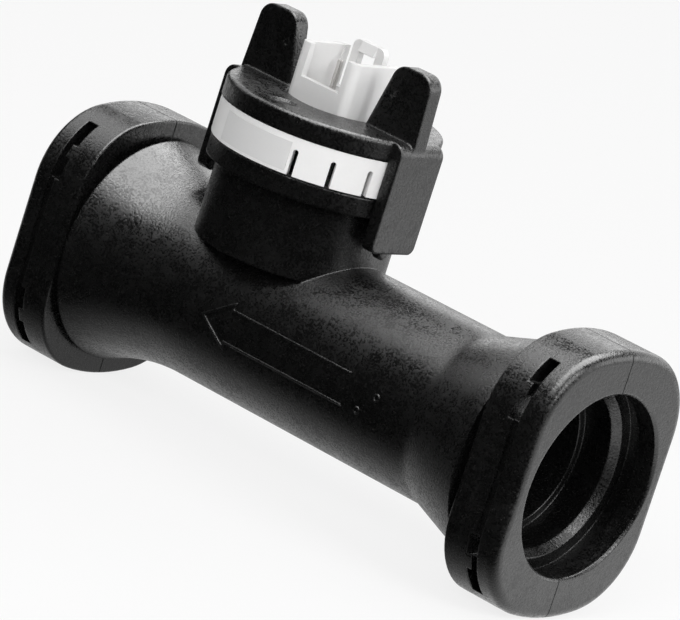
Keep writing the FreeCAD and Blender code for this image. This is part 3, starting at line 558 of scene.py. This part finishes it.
@dataclass
class TubeMarks:
    """What stands on the front of the tube: the outlined flow arrow and two ejector pin marks.

    Attributes:
        bench: The shared modelling steps.
        barrel: The tube's radius.
        tip: Where the arrow's point is, along X.
        barb: Where the head ends.
        open_end: Where the shaft's two lines end.
        half_head: Half the head's height.
        half_shaft: Half the shaft's height.
        line: The width of the raised line.
        proud: How far the line stands off the tube.
        rounding: The radius of its edges.
        sunk: How far a mark's foot reaches into the tube.
        pin_marks: Where the ejector marks are, along X and Z.
        pin_radius: Their outer radius.
        pin_line: The width of their raised ring.
        pin_sides: How many sides the ring has.
        cuts: How often each side of the arrow is cut, so that it follows the tube.
    """

    bench: Bench
    barrel: float = 13.5 * MM
    tip: float = 36.1 * MM
    barb: float = 41.5 * MM
    open_end: float = 65.2 * MM
    half_head: float = 3.7 * MM
    half_shaft: float = 2.6 * MM
    line: float = 0.38 * MM
    proud: float = 0.26 * MM
    rounding: float = 0.13 * MM
    sunk: float = 0.12 * MM
    pin_marks: tuple[tuple[float, float], ...] = ((70.74 * MM, 0.99 * MM), (67.95 * MM, -1.97 * MM))
    pin_radius: float = 0.62 * MM
    pin_line: float = 0.3 * MM
    pin_sides: int = 24
    cuts: int = 5

    def lay_on_tube(self, piece: bpy.types.Object) -> None:
        """Wraps a flat outline in the XZ plane onto the tube's front.

        Args:
            piece: The outline.
        """
        foot = self.barrel - self.sunk
        for vertex in piece.data.vertices:
            vertex.co.y = -math.sqrt(foot * foot - vertex.co.z * vertex.co.z)

    def raise_line(self, piece: bpy.types.Object) -> None:
        """Gives a flat line on the tube its height and its worn edges."""
        self.bench.modify(piece, "SOLIDIFY", thickness=self.proud + self.sunk, offset=1.0)
        self.bench.wear_edges(piece, self.rounding, 3)

    def face_front(self, piece: bpy.types.Object) -> None:
        """Turns all faces of a flat line towards -Y, so that its height grows off the tube.

        Args:
            piece: The line.
        """
        self.bench.edit_faces(piece, lambda face: face.normal.y > 0)
        bpy.ops.mesh.flip_normals()
        self.bench.leave()

    def build_arrow(self) -> bpy.types.Object:
        """Builds the arrow's outline, open at the shaft's end.

        Returns:
            The arrow.
        """
        outline = (
            (self.tip, 0.0),
            (self.barb, self.half_head),
            (self.barb, self.half_shaft),
            (self.open_end, self.half_shaft),
            (self.open_end, -self.half_shaft),
            (self.barb, -self.half_shaft),
            (self.barb, -self.half_head),
        )
        self.bench.clear()
        bpy.ops.mesh.primitive_circle_add(vertices=len(outline), radius=self.half_head, fill_type="NGON")
        arrow = bpy.context.object
        for vertex, (along, height) in zip(arrow.data.vertices, outline):
            vertex.co = (along, 0.0, height)
        arrow.data.update()
        self.bench.edit_faces(arrow, lambda face: True)
        bpy.ops.mesh.inset(thickness=self.line, use_even_offset=True)
        bpy.ops.mesh.delete(type="FACE")
        self.bench.leave()
        self.bench.edit_faces(arrow, lambda face: face.center.x > self.open_end - self.line)
        bpy.ops.mesh.delete(type="FACE")
        bpy.ops.mesh.select_all(action="SELECT")
        bpy.ops.mesh.subdivide(number_cuts=self.cuts)
        self.bench.leave()
        self.lay_on_tube(arrow)
        self.face_front(arrow)
        self.raise_line(arrow)
        return self.bench.finish(arrow, "flow_arrow", TUBE_NYLON)

    def build_pin_marks(self) -> list[bpy.types.Object]:
        """Builds the ejector marks, as low rings.

        Returns:
            The marks.
        """
        marks = []
        for number, (along, height) in enumerate(self.pin_marks, start=1):
            self.bench.clear()
            bpy.ops.mesh.primitive_circle_add(vertices=self.pin_sides, radius=self.pin_radius,
                                              fill_type="NGON", location=(along, 0.0, height),
                                              rotation=(math.pi / 2, 0.0, 0.0))
            ring = bpy.context.object
            bpy.ops.object.transform_apply(location=True, rotation=True)
            self.bench.edit_faces(ring, lambda face: True)
            bpy.ops.mesh.inset(thickness=self.pin_line, use_even_offset=True)
            bpy.ops.mesh.delete(type="FACE")
            self.bench.leave()
            self.lay_on_tube(ring)
            self.face_front(ring)
            self.raise_line(ring)
            marks.append(self.bench.finish(ring, f"ejector_mark_{number}", TUBE_NYLON))
        return marks

    def build(self) -> None:
        """Builds the arrow and the marks."""
        self.build_arrow()
        self.build_pin_marks()


@dataclass
class CapTabs:
    """The half-round tab under the foot of each arm of the clip cap.

    Attributes:
        bench: The shared modelling steps.
        head_middle: The head's axis, along X.
        inner: The tab's inner side, from the head's axis.
        outer: Its outer side, from the head's axis.
        foot: The height of the arms' feet.
        offset: The tab's middle, along Y, on the right arm.
        radius: Its radius.
        buried: How far its flat top reaches into the foot.
        rounding: The width of its worn edges.
        sides: How many sides the full round would have.
    """

    bench: Bench
    head_middle: float = 37.5 * MM
    inner: float = 16.1 * MM
    outer: float = 17.5 * MM
    foot: float = 17.0 * MM
    offset: float = -1.3 * MM
    radius: float = 1.1 * MM
    buried: float = 0.2 * MM
    rounding: float = 0.2 * MM
    sides: int = 32

    def build(self) -> list[bpy.types.Object]:
        """Builds both tabs, the left one turned half round the head.

        Returns:
            The tabs.
        """
        tabs = []
        for name, side in (("right_arm_tab", 1.0), ("left_arm_tab", -1.0)):
            self.bench.clear()
            along = self.head_middle + side * (self.inner + self.outer) / 2
            bpy.ops.mesh.primitive_cylinder_add(vertices=self.sides, radius=self.radius,
                                                depth=self.outer - self.inner,
                                                location=(along, side * self.offset, self.foot),
                                                rotation=(0.0, math.pi / 2, 0.0))
            tab = bpy.context.object
            bpy.ops.object.transform_apply(location=True, rotation=True)
            self.bench.edit_faces(tab, lambda face: True)
            bpy.ops.mesh.bisect(plane_co=(0.0, 0.0, self.foot + self.buried), plane_no=(0.0, 0.0, 1.0),
                                use_fill=True, clear_outer=True)
            self.bench.leave()
            self.bench.wear_edges(tab, self.rounding, 2)
            tabs.append(self.bench.finish(tab, name, CAP_NYLON))
        return tabs


@dataclass
class PhotoCamera:
    """The camera at the photograph's viewing angle.

    Attributes:
        azimuth: The turn about +Z, in radians.
        elevation: The height above the horizon, in radians.
        roll: The turn about the line of sight, in radians.
        aim: What the view's centre looks at, along its right and up directions, in metres.
        distance: From the tube's middle, in metres.
        lens: The focal length, in millimetres.
        sensor: The width of the camera's sensor, in millimetres.
        middle: The tube's middle along X, in metres.
        nearest: How near the camera still sees, in metres.
        farthest: How far it sees, in metres.
    """

    azimuth: float = 0.64577
    elevation: float = 0.22978
    roll: float = 0.31195
    aim: tuple[float, float] = (1.1766 * MM, 5.9504 * MM)
    distance: float = 750 * MM
    lens: float = 272.53
    sensor: float = 36.0
    middle: float = 50.5 * MM
    nearest: float = 0.05
    farthest: float = 50.0

    def build(self) -> bpy.types.Object:
        """Adds the camera and makes it the scene's.

        Returns:
            The camera object.
        """
        turn, rise = self.azimuth, self.elevation
        back = Vector((math.sin(turn) * math.cos(rise), -math.cos(turn) * math.cos(rise), math.sin(rise)))
        level = Vector((math.cos(turn), math.sin(turn), 0.0))
        upright = back.cross(level)
        right = math.cos(self.roll) * level + math.sin(self.roll) * upright
        up = math.cos(self.roll) * upright - math.sin(self.roll) * level
        data = bpy.data.cameras.new("photo_camera")
        data.sensor_width = self.sensor
        data.lens = self.lens
        data.clip_start = self.nearest
        data.clip_end = self.farthest
        camera = bpy.data.objects.new("photo_camera", data)
        camera.matrix_world = Matrix((right, up, back)).transposed().to_4x4()
        aim = Vector((self.middle, 0, 0)) + right * self.aim[0] + up * self.aim[1]
        camera.location = aim + back * self.distance
        bpy.context.scene.collection.objects.link(camera)
        bpy.context.scene.camera = camera
        return camera


class Reach(Enum):
    """What a lamp does to the sensor: lights it and shows in its gloss, or one of the two."""

    FULL = "full"
    FILL = "fill"
    CARD = "card"


@dataclass(frozen=True)
class Lamp:
    """A soft rectangular lamp that is aimed at the sensor, and isn't seen itself.

    Attributes:
        name: Its name.
        place: Where it hangs, in metres.
        width: Its level side, in metres.
        height: Its other side, in metres.
        glow: The brightness of its face, where white paper in full light has 1.
        reach: Whether it fills, shows in the gloss, or both.
        watts: The watts per square metre of a lamp whose glow is 1.
    """

    name: str
    place: tuple[float, float, float]
    width: float
    height: float
    glow: float
    reach: Reach = Reach.FULL
    watts: float = 4.0

    def build(self, target: Vector) -> bpy.types.Object:
        """Adds the lamp.

        Args:
            target: What it points at.

        Returns:
            The lamp.
        """
        data = bpy.data.lights.new(self.name, "AREA")
        data.shape = "RECTANGLE"
        data.size = self.width
        data.size_y = self.height
        data.energy = self.glow * self.width * self.height * self.watts
        lamp = bpy.data.objects.new(self.name, data)
        lamp.location = self.place
        lamp.rotation_mode = "QUATERNION"
        lamp.rotation_quaternion = (Vector(self.place) - target).to_track_quat("Z", "Y")
        lamp.visible_camera = False
        lamp.visible_glossy = self.reach is not Reach.FILL
        lamp.visible_diffuse = self.reach is not Reach.CARD
        bpy.context.scene.collection.objects.link(lamp)
        return lamp


@dataclass
class Studio:
    """The floor, the backdrop colour and the soft lamps.

    Attributes:
        floor_level: The floor's height, in metres.
        floor_size: The floor's side, in metres.
        floor_colour: The lightness of the floor's paper.
        floor_white: The share of plain white in what the camera sees of the floor; the rest is lit paper.
        glow_front: Where the floor's glow in reflections has faded out, along Y, in metres.
        glow_full: Where it is full, along Y, in metres.
        glow_left: Its brightness under the tube and left of it.
        glow_right: Its brightness beyond the tube's right end.
        glow_far: The share of it that is left far to the right.
        glow_turn: Where the left brightness ends, the right one starts and the far one starts, along X.
        ambient: The world's light.
        middle: What the lamps point at, in metres.
        lamps: The lamps.
    """

    floor_level: float
    floor_size: float = 6.0
    floor_colour: float = 0.8
    floor_white: float = 0.82
    glow_front: float = -26 * MM
    glow_full: float = -4 * MM
    glow_left: float = 0.6
    glow_right: float = 1.6
    glow_far: float = 0.7
    glow_turn: tuple[float, float, float] = (85 * MM, 110 * MM, 240 * MM)
    ambient: float = 0.02
    middle: Vector = Vector((0.05, 0.0, 0.01))
    lamps: tuple[Lamp, ...] = (
        Lamp("overhead_softbox", (0.05, 0.02, 0.72), 0.65, 1.2, 0.8),
        Lamp("overhead_card", (0.05, 0.02, 0.7), 0.65, 1.2, 6.0, Reach.CARD),
        Lamp("left_panel", (-0.62, 0.0, 0.62), 0.7, 0.45, 2.2, Reach.CARD),
        Lamp("back_panel", (-0.25, 1.15, 0.42), 2.0, 0.6, 1.6),
        Lamp("right_softbox", (0.85, 0.0, 0.52), 0.5, 0.45, 5.6),
        Lamp("right_panel", (0.8, 0.9, 0.35), 0.7, 0.6, 2.2),
        Lamp("front_fill", (0.35, -0.8, 0.5), 0.5, 0.5, 5.4, Reach.FILL),
    )

    def build_floor(self) -> bpy.types.Object:
        """Adds the pale floor, which keeps the object's shadow.

        The camera sees it nearly white, with the shadow. Reflections see a glow instead, which fades out in
        front of the tube, where the room is dark.

        Returns:
            The floor.
        """
        bpy.ops.object.select_all(action="DESELECT")
        bpy.ops.mesh.primitive_plane_add(size=self.floor_size, location=(0, 0, self.floor_level))
        floor = bpy.context.object
        floor.name = "floor"
        bpy.ops.object.transform_apply(location=True)
        graph = ShaderGraph("floor_pale")
        graph.shader.inputs["Base Color"].default_value = tone(self.floor_colour)
        graph.shader.inputs["Roughness"].default_value = 1.0
        graph.shader.inputs["Specular IOR Level"].default_value = 0.0
        path = graph.add("ShaderNodeLightPath")
        left_end, right_start, far_start = self.glow_turn
        behind = graph.span(graph.axis("Y"), self.glow_front, self.glow_full, 0.0, 1.0)
        near_end = graph.span(graph.axis("X"), left_end, right_start, self.glow_left, self.glow_right)
        falling = graph.span(graph.axis("X"), right_start, far_start, 1.0, self.glow_far)
        sideways = graph.math("MULTIPLY", near_end, falling)
        glossy = path.outputs["Is Glossy Ray"]
        seen = graph.math("MAXIMUM", path.outputs["Is Camera Ray"], path.outputs["Is Transmission Ray"])
        mirrored = graph.math("MULTIPLY", glossy, graph.math("MULTIPLY", behind, sideways))
        glow = graph.add("ShaderNodeEmission")
        graph.join(graph.math("MAXIMUM", seen, mirrored), glow.inputs["Strength"])
        mix = graph.add("ShaderNodeMixShader")
        share = graph.math("MAXIMUM", graph.math("MULTIPLY", seen, self.floor_white), glossy)
        graph.join(share, mix.inputs[0])
        graph.join(graph.shader.outputs["BSDF"], mix.inputs[1])
        graph.join(glow.outputs[0], mix.inputs[2])
        graph.join(mix.outputs[0], graph.output.inputs["Surface"])
        floor.data.materials.append(graph.material)
        return floor

    def build_world(self) -> None:
        """Sets the world: dim for lighting, white for the camera."""
        world = bpy.data.worlds.new("studio_world")
        bpy.context.scene.world = world
        world.use_nodes = True
        tree = world.node_tree
        tree.nodes.clear()
        path = tree.nodes.new("ShaderNodeLightPath")
        mix = tree.nodes.new("ShaderNodeMixShader")
        output = tree.nodes.new("ShaderNodeOutputWorld")
        tree.links.new(path.outputs["Is Camera Ray"], mix.inputs[0])
        for socket, strength in ((1, self.ambient), (2, 1.0)):
            white = tree.nodes.new("ShaderNodeBackground")
            white.inputs["Color"].default_value = tone(1.0)
            white.inputs["Strength"].default_value = strength
            tree.links.new(white.outputs[0], mix.inputs[socket])
        tree.links.new(mix.outputs[0], output.inputs["Surface"])

    def build(self) -> None:
        """Builds the floor, the world and the lamps."""
        self.build_floor()
        self.build_world()
        for lamp in self.lamps:
            lamp.build(self.middle)


# The floor lies this far under the sensor, so that no face of the two coincides.
FLOOR_GAP = 0.03 * MM

NODE_FINISHES: dict[str, Finish] = {
    "flow_tube": TUBE_NYLON,
    "head_cap": CAP_NYLON,
    "connector_cover": COVER_POLYESTER,
    "label_pad": LABEL_FILM,
    "sensor_insert": INSERT_PLASTIC,
    "sensing_paddle": PADDLE_COAT,
    "insert_seal": SEAL_RUBBER,
    "cover_gasket": SEAL_RUBBER,
    "piezo_strip": PIEZO_CERAMIC,
    "piezo_lead_1": LEAD_WIRE,
    "piezo_lead_2": LEAD_WIRE,
    "board_carrier": CARRIER_PLASTIC,
    "circuit_board": BOARD_LACQUER,
    "signal_chip": CHIP_EPOXY,
    "voltage_regulator": CHIP_EPOXY,
    "resistors": CHIP_EPOXY,
    "capacitors": CAPACITOR_BODY,
    "contact_pin_1": PIN_TIN,
    "contact_pin_2": PIN_TIN,
    "contact_pin_3": PIN_TIN,
    "contact_pin_4": PIN_TIN,
}


def main() -> None:
    """Builds the dressed sensor and its studio."""
    logging.basicConfig(level=logging.INFO)
    bpy.context.scene.view_settings.view_transform = "Standard"
    dresser = Dresser()
    for node, finish in NODE_FINISHES.items():
        dresser.dress(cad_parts[node], finish)
        LOG.info("dressed %s in %s", node, finish.name)
    bench = Bench(dresser)
    TubeMarks(bench).build()
    CapTabs(bench).build()
    Studio(floor_level=CAD_BOX[0].z - FLOOR_GAP).build()
    PhotoCamera().build()


if __name__ == "__main__":
    main()
